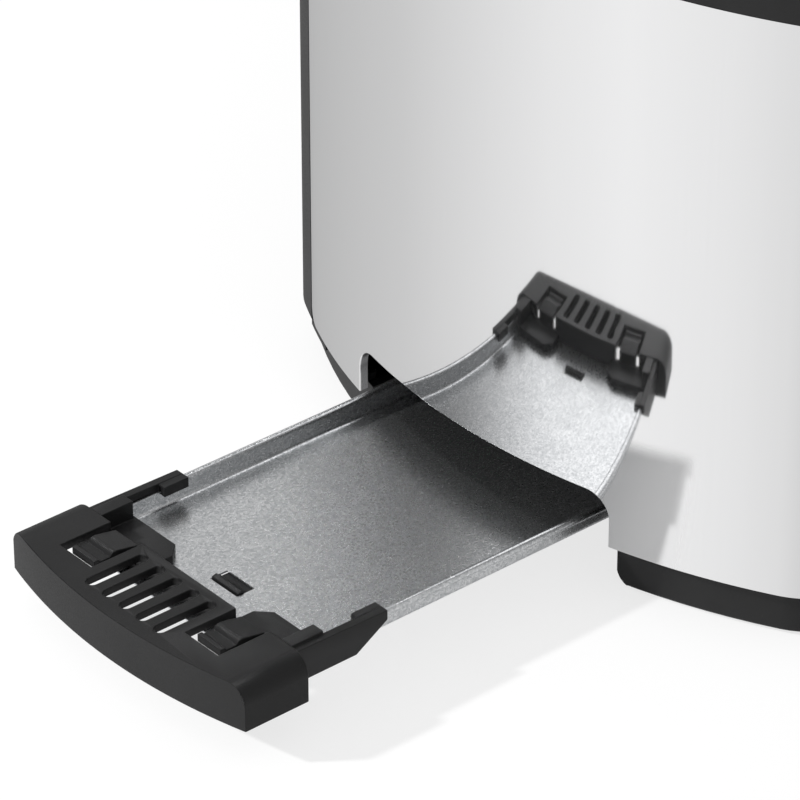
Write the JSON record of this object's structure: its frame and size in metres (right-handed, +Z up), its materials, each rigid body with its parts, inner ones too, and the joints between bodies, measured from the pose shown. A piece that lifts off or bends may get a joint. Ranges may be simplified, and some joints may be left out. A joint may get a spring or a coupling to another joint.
{
  "type": "two-slice toaster",
  "caption": "Two-slice toaster with a polished steel sleeve, controls on one long side and a crumb tray with a black vented handle drawn out of one end.",
  "frame": {"origin": "under the middle of the body, on the surface that the toaster stands on", "axes": "+X towards the end that the crumb tray is drawn from, -Y towards the control side, +Z up; the tray is drawn out at rest"},
  "size_m": [0.4045, 0.2236, 0.19],
  "materials": {
    "polished_steel": "polished",
    "black_moulding": "fine satin texture",
    "coated_sheet": "zinc-coated, finely spangled",
    "chassis_sheet": "zinc-coated",
    "reflector": "bright",
    "rack_steel": "plain",
    "guide_wire": "bright wire",
    "bright_rod": "ground",
    "spring_steel": "plain",
    "screw_steel": "zinc-coated",
    "magnet_iron": "plain",
    "coil_tape": "wrapped in yellow tape",
    "mica": "matte",
    "heater_ribbon": "oxidised",
    "rubber": "matte",
    "grey_moulding": "matte",
    "white_moulding": "matte",
    "board_laminate": "lacquered"
  },
  "bodies": {
    "housing": {"base": "black_moulding", "rubber_feet": "rubber", "base_screws": "screw_steel", "outer_sleeve": "polished_steel", "front_fascia": "black_moulding", "top_cover": "black_moulding", "end_plate_tray_side": "chassis_sheet", "end_plate_lever_side": "chassis_sheet", "chassis_top_plate": "chassis_sheet", "side_panel_front": "reflector", "side_panel_back": "reflector", "guide_rods": "bright_rod", "lift_spring": "spring_steel", "latch_magnet": "magnet_iron", "latch_coil": "coil_tape", "power_switch": "grey_moulding", "control_board": "board_laminate", "board_screws": "screw_steel", "potentiometer": "grey_moulding", "button_switches": "grey_moulding", "cord_outlet": "black_moulding", "terminal_block": "white_moulding", "heater_board_front_outer": "mica", "heater_ribbon_front_outer": "heater_ribbon", "heater_board_front_inner": "mica", "heater_ribbon_front_inner": "heater_ribbon", "heater_board_back_inner": "mica", "heater_ribbon_back_inner": "heater_ribbon", "heater_board_back_outer": "mica", "heater_ribbon_back_outer": "heater_ribbon"},
    "crumb_tray": {"crumb_tray_pan": "coated_sheet", "crumb_tray_handle": "black_moulding"},
    "carriage": {"bread_rack_front": "rack_steel", "bread_rack_back": "rack_steel", "carriage_block": "grey_moulding", "carriage_cross_plate": "rack_steel", "lever_arm": "rack_steel", "lever_knob": "black_moulding", "latch_armature": "magnet_iron"},
    "browning_control": {"browning_knob": "black_moulding", "knob_shaft": "grey_moulding"},
    "push_button_1": {"button_1": "black_moulding"},
    "push_button_2": {"button_2": "black_moulding"},
    "push_button_3": {"button_3": "black_moulding"},
    "guide_front_outer": {"bread_guide_front_outer": "guide_wire"},
    "guide_front_inner": {"bread_guide_front_inner": "guide_wire"},
    "guide_back_inner": {"bread_guide_back_inner": "guide_wire"},
    "guide_back_outer": {"bread_guide_back_outer": "guide_wire"}
  },
  "joints": [
    {"name": "crumb_tray_slide", "type": "slide", "parent": "housing", "child": "crumb_tray", "axis": [1, 0, 0], "range_m": [-0.1145, 0.13]},
    {"name": "carriage_slide", "type": "slide", "parent": "housing", "child": "carriage", "axis": [0, 0, 1], "range_m": [-0.085, 0], "stiffness_N_per_m": 120, "springref_m": 0.04, "deforming": ["lift_spring"]},
    {"name": "browning_knob_turn", "type": "hinge", "parent": "housing", "child": "browning_control", "pos_m": [0.045, -0.105, 0.092], "axis": [0, 1, 0], "range_deg": [-135, 135]},
    {"name": "button_1_push", "type": "slide", "parent": "housing", "child": "push_button_1", "axis": [0, 1, 0], "range_m": [0, 0.0016], "stiffness_N_per_m": 300, "springref_m": -0.002},
    {"name": "button_2_push", "type": "slide", "parent": "housing", "child": "push_button_2", "axis": [0, 1, 0], "range_m": [0, 0.0016], "stiffness_N_per_m": 300, "springref_m": -0.002},
    {"name": "button_3_push", "type": "slide", "parent": "housing", "child": "push_button_3", "axis": [0, 1, 0], "range_m": [0, 0.0016], "stiffness_N_per_m": 300, "springref_m": -0.002},
    {"name": "bread_guide_front_outer_tilt", "type": "hinge", "parent": "housing", "child": "guide_front_outer", "pos_m": [0, -0.038, 0.034], "axis": [1, 0, 0], "range_deg": [-5.5, 0]},
    {"name": "bread_guide_front_inner_tilt", "type": "hinge", "parent": "housing", "child": "guide_front_inner", "pos_m": [0, -0.01, 0.034], "axis": [1, 0, 0], "range_deg": [0, 5.5]},
    {"name": "bread_guide_back_inner_tilt", "type": "hinge", "parent": "housing", "child": "guide_back_inner", "pos_m": [0, 0.01, 0.034], "axis": [1, 0, 0], "range_deg": [-5.5, 0]},
    {"name": "bread_guide_back_outer_tilt", "type": "hinge", "parent": "housing", "child": "guide_back_outer", "pos_m": [0, 0.038, 0.034], "axis": [1, 0, 0], "range_deg": [0, 5.5]}
  ],
  "couplings": [
    {"joint": "bread_guide_front_outer_tilt", "follows": "carriage_slide", "rad_per_m": 1.12},
    {"joint": "bread_guide_front_inner_tilt", "follows": "carriage_slide", "rad_per_m": -1.12},
    {"joint": "bread_guide_back_inner_tilt", "follows": "carriage_slide", "rad_per_m": 1.12},
    {"joint": "bread_guide_back_outer_tilt", "follows": "carriage_slide", "rad_per_m": -1.12}
  ]
}
